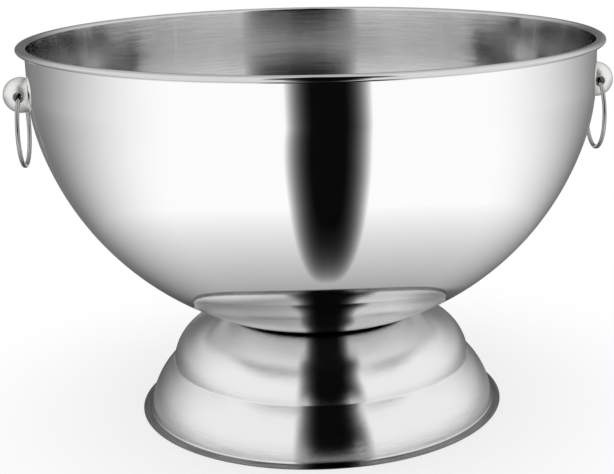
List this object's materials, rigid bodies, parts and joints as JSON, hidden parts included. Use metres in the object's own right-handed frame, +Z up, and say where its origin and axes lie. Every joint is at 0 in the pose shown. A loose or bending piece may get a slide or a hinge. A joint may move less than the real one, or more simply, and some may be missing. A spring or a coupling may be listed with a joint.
{
  "type": "punch bowl",
  "caption": "Footed punch bowl in spun stainless steel: round bowl with a rolled rim on a stepped hollow foot, with a wire ring handle swinging in a ball knob at each side.",
  "frame": {"origin": "centre of the foot's base, on the surface that the bowl stands on", "axes": "+Z up along the bowl's axis, X through the two knobs"},
  "size_m": [0.399, 0.3744, 0.2499],
  "materials": {
    "bowl_steel": "stainless steel, mirror polished outside and brushed round the axis inside",
    "foot_steel": "stainless steel, mirror polished",
    "knob_steel": "stainless steel, satin",
    "ring_wire": "stainless steel wire, polished",
    "screw_steel": "stainless steel, bright",
    "seal_silicone": "food-grade silicone, pale grey",
    "fixing_steel": "stainless steel, plain"
  },
  "bodies": {
    "vessel": {"bowl_shell": "bowl_steel", "pedestal_foot": "foot_steel", "foot_stud": "fixing_steel", "foot_washer": "fixing_steel", "foot_nut": "fixing_steel", "right_knob": "knob_steel", "left_knob": "knob_steel", "right_knob_screw": "screw_steel", "left_knob_screw": "screw_steel", "right_seal_washer": "seal_silicone", "left_seal_washer": "seal_silicone"},
    "right_handle": {"right_ring": "ring_wire"},
    "left_handle": {"left_ring": "ring_wire"}
  },
  "joints": [
    {"name": "right_ring_swing", "type": "hinge", "parent": "vessel", "child": "right_handle", "pos_m": [0.18845, 0, 0.21564], "axis": [0, -1, 0], "range_deg": [-18, 179]},
    {"name": "left_ring_swing", "type": "hinge", "parent": "vessel", "child": "left_handle", "pos_m": [-0.18845, 0, 0.21564], "axis": [0, 1, 0], "range_deg": [-18, 179]}
  ]
}
